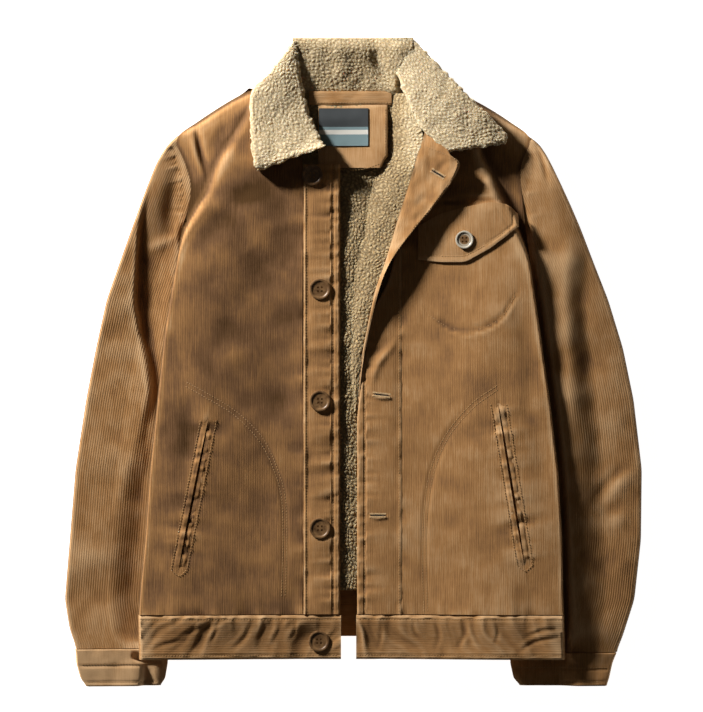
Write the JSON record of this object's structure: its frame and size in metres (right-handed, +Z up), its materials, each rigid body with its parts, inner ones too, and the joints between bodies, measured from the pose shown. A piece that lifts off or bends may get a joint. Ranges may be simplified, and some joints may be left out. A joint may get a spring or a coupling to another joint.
{
  "type": "corduroy jacket with pile collar, laid flat",
  "caption": "Hip-length corduroy jacket with a pile collar and lining, laid flat on its back with its button front open.",
  "frame": {"origin": "middle of the jacket's plan, on the surface that it lies on", "axes": "+Z up from the surface, +Y from hem to neck, +X towards the wearer's left"},
  "size_m": [0.706, 0.791, 0.044],
  "materials": {
    "corduroy": "tan cotton corduroy, fine wales, short nap",
    "pile": "cream curled pile",
    "brown_horn": "polished dark brown horn",
    "pale_horn": "pale horn with a dark eye",
    "label_cloth": "plain woven bands in slate, grey-blue and white"
  },
  "bodies": {
    "root": {"front_right": "corduroy", "front_left": "corduroy", "placket_right": "corduroy", "placket_left": "corduroy", "lapel_facing": "corduroy", "lapel_strip": "pile", "front_lining_right": "pile", "front_lining_left": "pile", "back": "corduroy", "back_lining": "pile", "waistband_right": "corduroy", "waistband_left": "corduroy", "waistband_back": "corduroy", "sleeve_right_upper": "corduroy", "sleeve_right_under": "corduroy", "sleeve_left_upper": "corduroy", "sleeve_left_under": "corduroy", "cuff_right": "corduroy", "cuff_left": "corduroy", "collar_back": "pile", "collar_wing_right": "pile", "collar_wing_left": "pile", "neck_strip": "corduroy", "hanger_patch": "corduroy", "neck_label": "label_cloth", "chest_flap": "corduroy", "pocket_welt_right_west": "corduroy", "pocket_welt_right_east": "corduroy", "pocket_welt_left_west": "corduroy", "pocket_welt_left_east": "corduroy", "button_1": "brown_horn", "button_2": "brown_horn", "button_3": "brown_horn", "button_4": "brown_horn", "button_5": "brown_horn", "chest_button": "pale_horn"}
  },
  "joints": []
}
